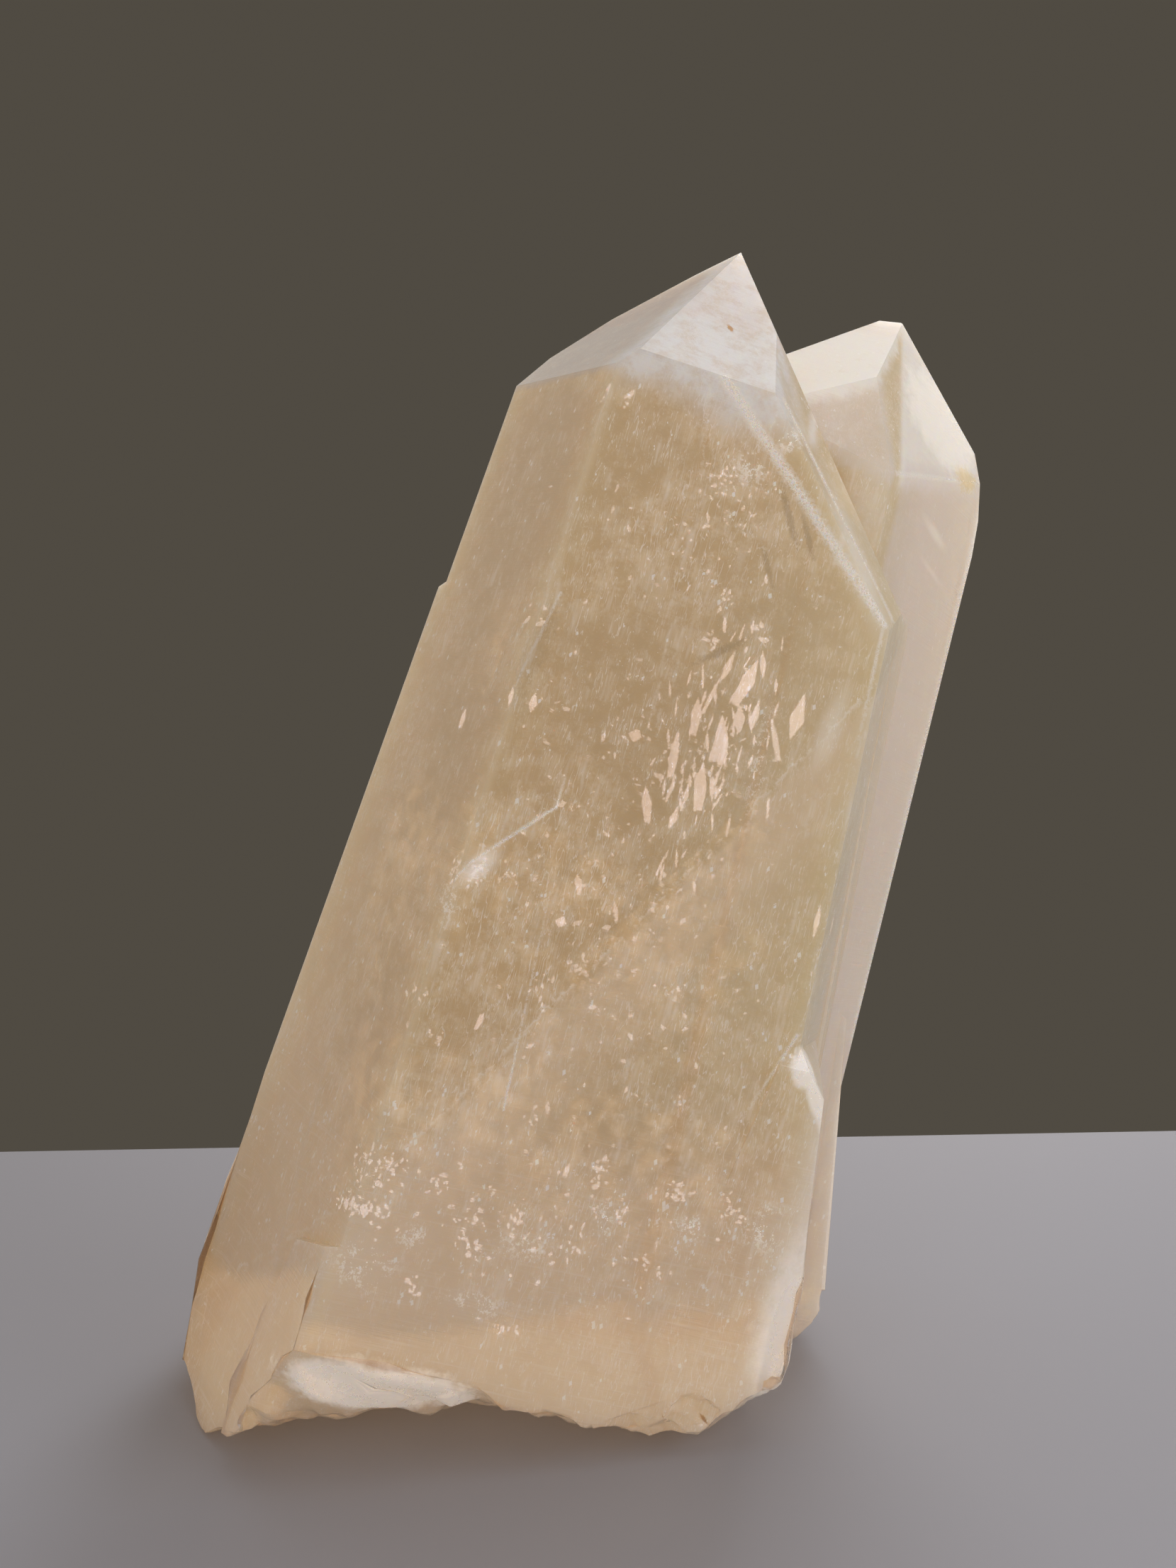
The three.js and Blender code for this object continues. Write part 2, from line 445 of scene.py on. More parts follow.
def makeLineGroup():
    # A thin mark along the straight line between two places. Millimetres.
    group, given, mask = startGroup("lineMark", ("Place", "Start", "End"), ("Width", "Shake"))
    run = vector(group, "SUBTRACT", given["End"], given["Start"])
    away = vector(group, "SUBTRACT", given["Place"], given["Start"])
    along = number(
        group, "DIVIDE", vector(group, "DOT_PRODUCT", away, run, out=1),
        vector(group, "DOT_PRODUCT", run, run, out=1), clamp=True,
    )
    scaled = addNode(group, "ShaderNodeVectorMath", operation="SCALE")
    plug(group, scaled.inputs[0], run)
    plug(group, scaled.inputs["Scale"], along)
    gap = vector(group, "LENGTH", vector(group, "SUBTRACT", away, scaled.outputs[0]), out=1)
    reach = number(group, "ADD", number(group, "DIVIDE", gap, given["Width"]), given["Shake"])
    plug(group, mask, ramp(group, reach, fullShare["line"], 1.0, 1.0, 0.0))
    return group


def makeFacetGroup():
    # 1 on one facet of the crystal, fading over a depth on both sides of its plane. Millimetres.
    group, given, mask = startGroup("facetMark", ("Place", "Facing"), ("Distance", "Depth", "Shake"))
    level = vector(group, "DOT_PRODUCT", given["Place"], given["Facing"], out=1)
    gap = number(group, "ABSOLUTE", number(group, "SUBTRACT", given["Distance"], level))
    reach = number(group, "ADD", number(group, "DIVIDE", gap, given["Depth"]), given["Shake"])
    plug(group, mask, ramp(group, reach, fullShare["facet"], 1.0, 1.0, 0.0))
    return group


softPatch = makePatchGroup()
lineMark = makeLineGroup()
facetMark = makeFacetGroup()


def crystalPlace(tree):
    # Object coordinates turned into the crystal's axes, in mm.
    return addNode(tree, "ShaderNodeMapping", vector_type="POINT", sockets={
        "Vector": addNode(tree, "ShaderNodeTexCoord").outputs["Object"],
        "Location": tuple(-(toCrystal @ footPlace)),
        "Rotation": tuple(toCrystal.to_euler("XYZ")),
        "Scale": (1000.0, 1000.0, 1000.0),
    }).outputs[0]


# Each facet by its azimuth, its rise and its distance from the foot of the crystals' axis, in mm.
facets = {
    "front": (0, 3.6, 33.95),
    "left": (-60, 3.6, 43.7),
    "right": (60, 3.6, 44.3),
    "frontPyramid": (0, 38.2, 121.4),
    "leftPyramid": (-60, 38.2, 127.3),
    "rightPyramid": (60, 37.1, 113.3),
    "secondRightFront": (42, 4.8, 39.25),
    "secondFrontPyramid": (1.3, 26.3, 84.4),
    "secondRightPyramid": (33.2, 28, 98.1),
    "secondTopPyramid": (-17.7, 43.4, 123.4),
}

quartz = {
    "transmission": 0.55,
    "indexOfRefraction": 1.545,
    "absorption": (0.86, 0.75, 0.57, 1.0),
    "absorptionDensity": 6.0,
    "milkScale": 0.018,
    "milkReach": (1.0, 0.82, 0.6),
    "paintedPatchGlow": 0.16,  # painted glow: emission at the white patches that stands in for light led up through the body
    "shadowTint": (0.60, 0.51, 0.41, 1.0),
    "plainBody": (0.76, 0.63, 0.45, 1.0),
    "plainRoughness": 0.05,
    "bumpStrength": 0.25,
    "bumpDistance": 0.0003,
    "lineHeight": 0.5,
    "speckHeight": 0.25,
    "bodyRoughness": (0.4, 0.7, 0.01, 0.05),
    "whiteRoughness": 0.3,
    "noGlow": (0.0, 0.0, 0.0, 1.0),
    "honey": (0.66, 0.51, 0.32, 1.0),
    "paleHoney": (0.79, 0.65, 0.46, 1.0),
    "deepHoney": (0.56, 0.43, 0.27, 1.0),
    "greenGrey": (0.74, 0.66, 0.46, 1.0),
    "pinkBeige": (0.88, 0.75, 0.61, 1.0),
    # painted light on the left side of the crystal, from the left and behind
    "paintedPeachLight": (0.95, 0.78, 0.56, 1.0),
    "milk": (0.97, 0.96, 0.96, 1.0),
    "cream": (0.93, 0.87, 0.81, 1.0),
    "stain": (0.84, 0.66, 0.34, 1.0),
    # painted reflection of the wall on the left point face
    "paintedWallReflection": (0.60, 0.55, 0.53, 1.0),
    "haze": (0.82, 0.85, 0.92, 1.0),
    "lilac": (0.80, 0.75, 0.74, 1.0),
    "shade": (0.36, 0.28, 0.18, 1.0),
    "rust": (0.55, 0.28, 0.05, 1.0),
    # Patterns by features for each mm, detail and roughness, then stretch and turn for a grain.
    "noises": {
        "cloud": (0.05, 2.0, 0.6),
        "blotch": (0.26, 4.0, 0.72),
        "speckle": (1.9, 2.0, 0.8),
        "fibres": (1.0, 3.0, 0.75, (0.7, 0.8, 0.07), (0.12, 0.0, 0.0)),
        "slants": (1.0, 2.0, 0.8, (0.5, 0.7, 0.09), (0.75, 0.0, 0.0)),
        "growthLines": (1.0, 2.0, 0.8, (0.06, 0.05, 1.8), (0.05, 0.0, 0.0)),
    },
    # How far patterns push the edges of marks about.
    "shakes": {"shake": ("blotch", 1.6), "fineShake": ("speckle", 2.6), "cloudShake": ("cloud", 2.0)},
    # Thin threads run where a pattern crosses this value of its own.
    "threads": {
        "fibreThread": ("fibres", 0.46), "slantThread": ("slants", 0.50), "veilThread": ("drop", 0.0),
    },
    # The edge of the slanting veil on the front face, in mm: its height at the middle, how much it
    # rises for each mm to the right, and how much it wavers.
    "slant": {"height": 82.6, "slope": 1.645, "waver": 5.0},
    # Zones of the body: colour, strength, and the patterns or places with where each starts and ends.
    "bodyZones": [
        ("paleHoney", 1.0, [("blotch", 0.36, 0.66)]),
        ("deepHoney", 0.5, [("cloud", 0.40, 0.62)]),
        ("greenGrey", 0.6, [("right", -6, 26), ("up", 40, 75)]),
        ("pinkBeige", 0.75, [("up", 66, 20)]),
        # The peach on the left strip is painted light, from the left and behind.
        ("paintedPeachLight", 0.5, [("right", -34, -48)]),
        ("cream", 0.6, [("right", 28, 38)]),
        ("deepHoney", 0.6, [("right", -36, -47), ("up", 55, 15)]),
        ("pinkBeige", 0.45, [("drop", -0.5, 3.0), ("drop", 34.0, 8.0), ("out", 2, 16)]),
    ],
    # Cream streaks, threads, growth lines and specks in the body: strength and limits as above.
    "streaks": [
        (0.55, [("fibres", 0.50, 0.74), ("blotch", 0.42, 0.58)]),
        (0.45, [("slants", 0.54, 0.74), ("cloud", 0.56, 0.42)]),
        (0.9, [("fibreThread", 0.016, 0.0), ("blotch", 0.42, 0.58)]),
        (0.8, [("slantThread", 0.015, 0.0), ("cloud", 0.56, 0.42)]),
        (0.7, [("veilThread", 0.9, 0.0), ("blotch", 0.42, 0.58)]),
        (0.45, [("growthLines", 0.52, 0.78), ("up", 70, 30)]),
        (0.45, [("growthLines", 0.52, 0.78), ("right", 30, 36)]),
        (0.6, [("speckle", 0.66, 0.76)]),
    ],
    # Angular flakes: cells of a broken-up pattern, crowded in a band above the foot and in clouds.
    "flakes": {
        "stretch": (1.0, 1.0, 0.6),
        "turn": (0.35, 0.2, 0.0),
        "fineness": 1.5,
        "band": [("up", 52, 40), ("up", 24, 32)],
        "elsewhere": 0.18,
        "clouds": [("blotch", 0.48, 0.62)],
        "rarest": 0.995,
        "crowding": 0.42,
        "rim": (0.62, 0.45),
        "strength": 0.9,
    },
    # Facets that are milky or tinted: facet, fade on both sides of it, how far right and how high the
    # tint starts, colour and strength.
    "tintedFacets": [
        ("secondFrontPyramid", 1.6, -2, 158, "lilac", 0.6),
        ("secondTopPyramid", 1.6, -2, 160, "milk", 0.85),
        ("secondRightPyramid", 1.6, 26, 100, "milk", 1.0),
        ("secondRightFront", 2.0, 27, 0, "lilac", 0.6),
        # The peach on the left prism face is painted light, from the left and behind.
        ("left", 1.4, -90, -9, "paintedPeachLight", 0.35),
        # The mauve on the left point face is a painted reflection of the wall.
        ("leftPyramid", 1.0, -90, 0, "paintedWallReflection", 0.7),
    ],
    "tintFade": {"right": 2, "up": 4},
    # The hazy, mottled front face of the point.
    "hazyFace": {"facet": "frontPyramid", "depth": 5.0, "mottle": (0.30, 0.62, 0.55, 1.0)},
    # Milky patches on and just under the faces: centre and half size in the crystal's axes and mm,
    # turn in radians, softness of the edge, whiteness and painted glow.
    "whitePatches": [
        ((25, 18, 150), (7, 5, 24), 0.5, 0.9, 0.6, 0.2),
        ((32, 38, 30), (11, 6.5, 19), 0.0, 0.7, 0.9, 0.85),
        ((30, -19, 8.6), (14, 17, 5.6), 0.02, 0.35, 1.0, 1.0),
        ((31, 31, 68), (5, 3.4, 4), 0.0, 0.4, 0.9, 0.8),
        ((28, -25, 84.6), (5, 5.2, 2.4), 1.0, 0.8, 0.75, 0.35),
        ((30, 33.5, 63.5), (6, 1.6, 7.5), 0.58, 0.6, 0.9, 0.8),
        ((26.5, 21.5, 119), (5, 2.8, 10), -0.13, 0.9, 0.45, 0.2),
        ((-9, 38, 183), (13, 15, 14), 0.0, 0.5, 0.7, 0.7),
        ((12, 22, 156), (7, 6, 16), 0.0, 0.9, 0.4, 0.0),
        # These last two are painted sheen: bluish-white bands across the second crystal's striated face.
        ((-1, 40, 161), (6, 12, 1.6), -0.25, 0.9, 0.4, 0.2),
        ((-1, 43, 154), (6, 10, 1.0), -0.25, 0.9, 0.3, 0.1),
    ],
    # Crowds of fine white grains just under the front face, with a painted glow: centre and half size in
    # mm, and strength.
    "grainPatches": [
        ((32, -26, 26), (8, 7, 6), 0.9),
        ((32, -20, 31), (8, 4, 3), 0.7),
        ((32, 6.5, 39), (8, 2.2, 5), 1.0),
        ((32, 20, 41), (8, 4.5, 3), 0.9),
        ((32, 31, 43), (8, 5, 6), 0.9),
        ((32, -9, 23.6), (8, 8, 3), 0.8),
        ((32, -4, 33), (8, 8, 3), 0.6),
        ((23.4, 3.5, 160.5), (6, 5, 5), 1.0),
        ((25, -1, 154), (8, 4.5, 5), 0.8),
        ((28, -25, 85), (8, 3.6, 4.6), 1.0),
        ((28, -28, 78), (8, 3, 6), 0.6),
        ((27, 12, 112), (8, 3, 14), 0.6),
    ],
    # Darker marks, a yellow stain and a speck of rust: centre, half size, turn, softness of the edge,
    # waver, colour and strength.
    "darkMarks": [
        ((26.2, 2.0, 125.6), (2.5, 6.5, 0.9), 0.71, 0.7, 0.5, "shade", 0.42),
        ((26.8, -25.5, 117.5), (3, 2.4, 9.5), -0.14, 0.7, 0.5, "shade", 0.3),
        ((24.8, 6.8, 148.5), (2.5, 0.9, 6.5), 0.5, 0.7, 0.5, "shade", 0.45),
        ((25.0, 10.4, 146.5), (2.5, 0.7, 5.5), 0.5, 0.7, 0.5, "shade", 0.4),
        ((25.3, 5.5, 140.0), (2.5, 0.7, 4.5), 0.5, 0.7, 0.5, "shade", 0.35),
        ((-8.0, 46.0, 175.0), (6, 6, 3.5), 0.4, 0.7, 0.5, "stain", 0.7),
        ((14.9, -8.4, 177.5), (1.6, 0.6, 1.1), 0.6, 0.5, 0.3, "rust", 1.0),
    ],
    # Frosted, finely chipped lines along the edges and cracks: from, to, width in mm and strength.
    "frostLines": [
        ((23.6, -8.3, 166.1), (25.4, 25.7, 137.0), 1.5, 1.0),
        ((21.6, 2.0, 166.0), (22.6, 28.2, 139.0), 1.2, 0.9),
        ((25.4, 25.7, 137.0), (27.0, 26.3, 118.0), 0.5, 0.7),
        ((27.0, 26.3, 118.0), (30.5, 28.3, 72.0), 0.35, 0.6),
        ((29.5, 28.3, 72.2), (31.0, 22.0, 55.0), 0.45, 0.9),
        ((31.0, 22.0, 55.0), (31.2, 13.0, 51.0), 0.3, 0.6),
        ((26.0, -24.0, 127.0), (27.2, -27.6, 108.5), 0.35, 0.6),
        ((28.0, -16.3, 96.0), (28.7, -26.4, 84.9), 0.4, 1.0),
        ((28.7, -26.4, 84.9), (29.2, -31.0, 76.0), 0.35, 0.9),
        ((28.0, -16.0, 107.0), (28.0, -16.3, 96.0), 0.35, 0.9),
        ((29.0, -13.9, 83.7), (30.9, -12.2, 51.4), 0.3, 0.9),
        ((24.2, -10.2, 164.0), (25.0, -8.4, 152.0), 0.6, 1.0),
        ((-30.0, 56.0, 198.5), (-15.0, 53.1, 178.0), 1.0, 0.9),
        ((-15.0, 53.1, 178.0), (-5.2, 50.8, 110.0), 2.4, 0.9),
        ((-5.2, 50.8, 110.0), (0.6, 49.5, 70.0), 1.8, 0.9),
        ((10.8, 26.1, 165.0), (-15.3, 53.3, 178.0), 0.8, 0.8),
    ],
    # How the white marks break up.
    "whiteLook": {
        "patchWaver": 0.5,
        "patchGaps": (0.32, 0.56, 0.75, 1.0),
        "grainEdge": 0.9,
        "grainWaver": 0.9,
        "grainHaze": 0.12,
        # painted glow of the grain crowds
        "grainSize": (0.54, 0.64),
        "paintedGrainGlow": 0.6,
        "frostGaps": (0.36, 0.52, 0.35, 1.0),
    },
}


def quartzPatterns(tree):
    # The place out of the front face, to the right and up, and the patterns made from it.
    place = crystalPlace(tree)
    split = addNode(tree, "ShaderNodeSeparateXYZ", sockets={0: place}).outputs
    found = {"place": place, "out": split["X"], "right": split["Y"], "up": split["Z"]}
    for name, facts in quartz["noises"].items():
        found[name] = noise(tree, place, *facts)
    for name, (source, strength) in quartz["shakes"].items():
        found[name] = times(tree, number(tree, "SUBTRACT", found[source], 0.5), strength)
    drop = number(tree, "SUBTRACT", quartz["slant"]["height"], found["up"])
    drop = number(tree, "ADD", drop, times(tree, found["right"], quartz["slant"]["slope"]))
    found["drop"] = number(tree, "ADD", drop, times(tree, found["shake"], quartz["slant"]["waver"]))
    for name, (source, crossing) in quartz["threads"].items():
        found[name] = number(tree, "ABSOLUTE", number(tree, "SUBTRACT", found[source], crossing))
    return found


def limitMask(tree, found, limits, strength):
    # Full where each of the named patterns is past its limits.
    mask = strength
    for name, low, high in limits:
        mask = times(tree, ramp(tree, found[name], low, high), mask)
    return mask


def patchMask(tree, found, centre, size, turn, edge, shake):
    return groupMask(tree, softPatch, {
        "Place": found["place"], "Centre": centre, "Size": size, "Turn": (turn, 0, 0),
        "Edge": edge, "Shake": shake,
    })


def onFacet(tree, found, name, depth, shake):
    azimuth, rise, distance = facets[name]
    return groupMask(tree, facetMark, {
        "Place": found["place"], "Facing": tuple(facetNormal(azimuth, rise)),
        "Distance": distance, "Depth": depth, "Shake": shake,
    })


def flakeMask(tree, found):
    facts = quartz["flakes"]
    band = number(tree, "ADD", limitMask(tree, found, facts["band"], 1.0), facts["elsewhere"])
    crowd = limitMask(tree, found, facts["clouds"], band)
    cells = addNode(tree, "ShaderNodeTexVoronoi", feature="F1", distance="MANHATTAN", sockets={
        "Vector": remap(tree, found["place"], facts["stretch"], facts["turn"]),
        "Scale": facts["fineness"], "Randomness": 1.0,
    }).outputs
    pick = addNode(tree, "ShaderNodeSeparateColor", sockets={0: cells["Color"]}).outputs[0]
    wanted = number(tree, "SUBTRACT", facts["rarest"], times(tree, crowd, facts["crowding"]))
    chosen = number(tree, "GREATER_THAN", pick, wanted)
    flake = times(tree, chosen, ramp(tree, cells["Distance"], *facts["rim"]))
    return times(tree, flake, facts["strength"])


def bodyColour(tree, found):
    # The stone's own colour: its zones, streaks and flakes, the tinted facets and the hazy one.
    body = quartz["honey"]
    for colour, strength, limits in quartz["bodyZones"]:
        body = blendColour(tree, limitMask(tree, found, limits, strength), body, quartz[colour])
    marks = [limitMask(tree, found, limits, strength) for strength, limits in quartz["streaks"]]
    body = blendColour(tree, largest(tree, marks), body, quartz["cream"])
    body = blendColour(tree, flakeMask(tree, found), body, quartz["milk"])
    fade = quartz["tintFade"]
    for name, depth, right, up, colour, strength in quartz["tintedFacets"]:
        limits = [("right", right, right + fade["right"]), ("up", up, up + fade["up"])]
        mask = limitMask(tree, found, limits, onFacet(tree, found, name, depth, found["shake"]))
        body = blendColour(tree, times(tree, mask, strength), body, quartz[colour])
    facts = quartz["hazyFace"]
    haze = onFacet(tree, found, facts["facet"], facts["depth"], found["cloudShake"])
    haze = times(tree, haze, ramp(tree, found["blotch"], *facts["mottle"]))
    return blendColour(tree, haze, body, quartz["haze"])


def whiteMasks(tree, found):
    # How white each place is, and how much painted glow it has: milky patches, grains and frosted lines.
    look = quartz["whiteLook"]
    waver = times(tree, found["shake"], look["patchWaver"])
    whites = []
    glows = []
    for centre, size, turn, edge, strength, paintedGlow in quartz["whitePatches"]:
        mask = patchMask(tree, found, centre, size, turn, edge, waver)
        whites.append(times(tree, mask, strength))
        glows.append(times(tree, mask, paintedGlow))
    gaps = ramp(tree, found["blotch"], *look["patchGaps"])
    white = times(tree, largest(tree, whites), gaps)

    crowds = []
    for centre, size, strength in quartz["grainPatches"]:
        mask = patchMask(tree, found, centre, size, 0.0, look["grainEdge"], found["shake"])
        crowds.append(times(tree, mask, strength))
    crowd = largest(tree, crowds)
    clump = number(tree, "ADD", found["speckle"], times(tree, found["shake"], look["grainWaver"]))
    grains = times(tree, crowd, ramp(tree, clump, *look["grainSize"]))
    glows.append(times(tree, grains, look["paintedGrainGlow"]))

    lines = []
    for start, end, width, strength in quartz["frostLines"]:
        mask = groupMask(tree, lineMark, {
            "Place": found["place"], "Start": start, "End": end, "Width": width,
            "Shake": found["fineShake"],
        })
        lines.append(times(tree, mask, strength))
    frost = times(tree, largest(tree, lines), ramp(tree, found["speckle"], *look["frostGaps"]))
    haze = times(tree, crowd, look["grainHaze"])
    return largest(tree, [white, grains, haze, frost]), largest(tree, glows)


def surfaceHeight(tree, found):
    # Growth lines across the prism faces and small pits.
    lines = times(tree, found["growthLines"], quartz["lineHeight"])
    return number(tree, "ADD", lines, times(tree, found["speckle"], quartz["speckHeight"]))


def makeQuartz():
    material = bpy.data.materials.new("milkyQuartz")
    tree = freshTree(material)
    found = quartzPatterns(tree)
    body = bodyColour(tree, found)
    white, glow = whiteMasks(tree, found)
    body = blendColour(tree, white, body, quartz["milk"])
    for centre, size, turn, edge, waver, colour, strength in quartz["darkMarks"]:
        shake = times(tree, found["fineShake"], waver)
        mask = times(tree, patchMask(tree, found, centre, size, turn, edge, shake), strength)
        body = blendColour(tree, mask, body, quartz[colour])
    rough = ramp(tree, found["blotch"], *quartz["bodyRoughness"])
    rough = number(tree, "ADD", rough, times(tree, white, quartz["whiteRoughness"]))
    bump = addNode(tree, "ShaderNodeBump", sockets={
        "Strength": quartz["bumpStrength"], "Distance": quartz["bumpDistance"],
        "Height": surfaceHeight(tree, found),
    })

    shader = addNode(tree, "ShaderNodeBsdfPrincipled", sockets={
        "Base Color": body,
        "Roughness": rough,
        "IOR": quartz["indexOfRefraction"],
        "Transmission Weight": quartz["transmission"],
        "Subsurface Weight": 1.0,
        "Subsurface Radius": quartz["milkReach"],
        "Subsurface Scale": quartz["milkScale"],
        "Normal": bump.outputs[0],
        # painted glow: emission at the white patches and the grain crowds
        "Emission Color": blendColour(tree, glow, quartz["noGlow"], quartz["cream"]),
        "Emission Strength": quartz["paintedPatchGlow"],
    })
    shader.subsurface_method = "RANDOM_WALK"
    # Light that has already bounced meets the same quartz without its fine marks, which saves time.
    lightPath = addNode(tree, "ShaderNodeLightPath")
    plain = addNode(tree, "ShaderNodeBsdfPrincipled", sockets={
        "Base Color": quartz["plainBody"],
        "Roughness": quartz["plainRoughness"],
        "IOR": quartz["indexOfRefraction"],
        "Transmission Weight": quartz["transmission"],
    })
    bounced = number(tree, "GREATER_THAN", lightPath.outputs["Ray Depth"], 0.5)
    both = blendShaders(tree, bounced, shader, plain)
    clear = addNode(tree, "ShaderNodeBsdfTransparent", sockets={"Color": quartz["shadowTint"]})
    mix = blendShaders(tree, lightPath.outputs["Is Shadow Ray"], both, clear)
    absorb = addNode(tree, "ShaderNodeVolumeAbsorption", sockets={
        "Color": quartz["absorption"], "Density": quartz["absorptionDensity"],
    })
    plug(tree, showSurface(tree, mix).inputs["Volume"], absorb.outputs[0])
    return material


quartzCrystal.data.materials.clear()
quartzCrystal.data.materials.append(makeQuartz())
print("stage: quartz laid on")


# Larger bright breaks in the middle of the main crystal, and splinters between them.
shards = {
    "seed": 11,
    "models": [(5, 0), (4, 1), (5, 2), (4, 3)],  # sides and seed
    "thickness": 0.00012,
    "shift": (5.0, -0.4, 0.0),  # mm: nearer the front face and a little to the left
    "cover": 2.5,  # mm of quartz over them, at least
    "widen": 0.95,
    "stretch": 1.6,
    "turns": [(-25, 25), (-20, 20), (-14, 22)],
    "colour": (0.92, 0.90, 1.0, 1.0),
    "roughness": 0.25,
    "through": 0.55,
    "paintedGlow": 0.5,
    "splinters": 80,
    "middle": (18, 5.5, 112),
    "spread": (1.6, 4.5, 8.0),
    # the splinters' width and length in mm, then their turns in degrees
    "splinterSpans": [(0.25, 0.7), (1.2, 4.2), (-35, 35), (-25, 25), (-14, 24)],
    # centre in the crystal's axes, width and length, all in mm
    "large": [
        ((14.5, -1.8, 99.5), 1.7, 4.2), ((12.5, 0.3, 107.8), 1.1, 3.4), ((13.6, 5.7, 104.5), 2.4, 4.8),
        ((12.7, 3.0, 98.8), 1.5, 2.6), ((11.6, 2.4, 114.8), 1.8, 4.4), ((14.3, 8.8, 116.7), 1.9, 3.2),
        ((14.9, 6.5, 111.6), 2.0, 3.6), ((10.0, 5.4, 124.1), 1.6, 3.4), ((13.0, 8.5, 122.0), 2.4, 5.6),
        ((12.9, 10.4, 125.9), 1.1, 2.8), ((10.2, 0.8, 108.4), 1.6, 4.8), ((12.1, 18.1, 119.4), 3.0, 4.6),
        ((10.6, 16.0, 114.9), 1.4, 5.0), ((12.7, -6.2, 109.6), 2.4, 1.4), ((11.7, 7.4, 112.5), 2.4, 5.2),
        ((14.3, -23.0, 110.1), 1.6, 2.0), ((12.2, -30.6, 105.0), 1.8, 2.4), ((10.2, 11.8, 118.0), 1.2, 3.8),
        ((11.9, 3.8, 118.7), 0.9, 4.0), ((11.8, 4.1, 102.9), 0.9, 2.4), ((13.3, -8.7, 84.9), 1.3, 2.2),
        ((16.7, -10.1, 79.1), 1.9, 1.3), ((13.0, -2.0, 82.4), 0.9, 2.2), ((13.4, 29.6, 89.0), 1.1, 3.4),
        ((16.6, -18.1, 61.5), 1.0, 2.0),
    ],
}

# Small flecks under the faces of the main crystal and deeper in it, set in as the shards are.
flecks = {
    "seed": 5,
    "models": [(4, 20), (5, 21), (4, 22)],
    "thickness": 0.00008,
    "lift": 2.5,
    "cover": 1.6,
    "gather": 0.55,  # of each cloud's spread
    "size": (0.3, 0.7),
    "largeShare": 0.12,
    "largeSize": 1.6,
    "stretch": (0.8, 2.4),
    "turns": [(-70, 70), (-50, 50), (-90, 90)],
    "colour": (0.90, 0.90, 1.0, 1.0),
    "roughness": 0.35,
    "through": 0.5,
    "paintedGlow": 0.35,
    # clouds of them: middle, spread and count, in the crystal's axes and mm
    "clouds": [
        ((22.6, -27.1, 38.0), (2.0, 3.0, 3.2), 34), ((23.1, -27.3, 31.0), (2.0, 3.6, 2.6), 40),
        ((22.7, -18.0, 37.3), (2.5, 1.8, 1.6), 12), ((22.9, -12.8, 33.3), (2.5, 2.6, 2.4), 22),
        ((23.1, -11.0, 29.7), (2.0, 2.4, 1.8), 18), ((22.8, -5.3, 35.4), (2.5, 2.0, 1.4), 14),
        ((22.2, 5.0, 44.0), (2.0, 1.2, 2.6), 20), ((22.5, 9.7, 39.8), (2.0, 1.4, 1.4), 12),
        ((22.2, 17.6, 44.2), (2.0, 2.6, 1.8), 24), ((23.0, 3.6, 32.1), (2.0, 1.0, 1.8), 10),
        ((22.9, 15.6, 32.8), (2.5, 2.2, 1.2), 10), ((22.3, 27.2, 42.9), (2.5, 2.4, 2.0), 14),
        ((22.1, 36.0, 42.9), (3.0, 2.0, 4.0), 16), ((23.6, -17.5, 22.1), (2.0, 1.4, 1.2), 8),
        ((23.8, -3.5, 18.8), (2.0, 2.6, 0.8), 10), ((21.9, -6.8, 49.9), (2.0, 1.0, 1.2), 6),
        ((20.4, 8.6, 73.4), (2.0, 1.6, 1.0), 8), ((20.4, -5.7, 73.7), (3.0, 1.8, 1.6), 14),
        ((20.7, -10.8, 68.3), (3.0, 1.6, 2.2), 12), ((21.4, -24.5, 57.8), (2.5, 1.2, 1.4), 8),
        ((21.0, -27.2, 63.9), (2.0, 1.0, 1.8), 7), ((19.7, -20.1, 83.8), (2.0, 1.2, 1.0), 9),
        ((15.5, -3.5, 151.5), (2.5, 2.4, 2.4), 26), ((14.9, -21.7, 160.0), (1.6, 0.7, 1.2), 9),
        ((17.0, 0.4, 127.3), (1.6, 1.6, 1.2), 14), ((16.7, 7.6, 131.4), (1.4, 0.9, 1.0), 10),
        ((16.9, 8.8, 129.2), (1.2, 0.7, 0.8), 6), ((16.5, 1.3, 135.0), (2.0, 1.2, 1.4), 8),
        ((17.3, -25.7, 122.8), (1.5, 0.7, 1.6), 8), ((16.1, -29.1, 142.2), (1.5, 0.8, 2.6), 10),
        ((19.8, -24.9, 83.2), (1.6, 2.0, 2.2), 22),
        ((14.0, 5.0, 110.0), (5.0, 9.0, 12.0), 90), ((17.0, -8.0, 100.0), (8.0, 16.0, 26.0), 120),
        ((18.0, 4.0, 72.0), (8.0, 20.0, 22.0), 110), ((16.0, -4.0, 142.0), (6.0, 15.0, 12.0), 70),
        ((20.0, 0.0, 36.0), (6.0, 24.0, 10.0), 90), ((-6.0, 2.0, 80.0), (10.0, 20.0, 40.0), 90),
    ],
}

# The shape of every thin break and the grain of its colour.
plate = {
    "radius": 0.0005,
    "taper": (0.8, 0.9, 1.0),  # of its outer side against its inner one
    "shift": (0.00006, -0.00004, 0.0),
    "wobble": 0.00012,
    "grain": (0.9, 4.0, 0.7),
    "grainLimits": (0.3, 0.7, 0.0, 0.5),
    "grainColour": (1.0, 0.98, 0.95, 1.0),
}

# What lies inside the main crystal stays behind these facets, and out of the broken corner, which
# is below and left of these places in mm.
inside = {
    "facets": ["front", "left", "right", "frontPyramid", "leftPyramid", "rightPyramid"],
    "cornerUp": 22,
    "cornerRight": -24,
}


def isInside(place, cover):
    if place[2] < inside["cornerUp"] and place[1] < inside["cornerRight"]:
        return False
    for name in inside["facets"]:
        azimuth, rise, distance = facets[name]
        if distance - facetNormal(azimuth, rise).dot(Vector(place)) <= cover:
            return False
    return True


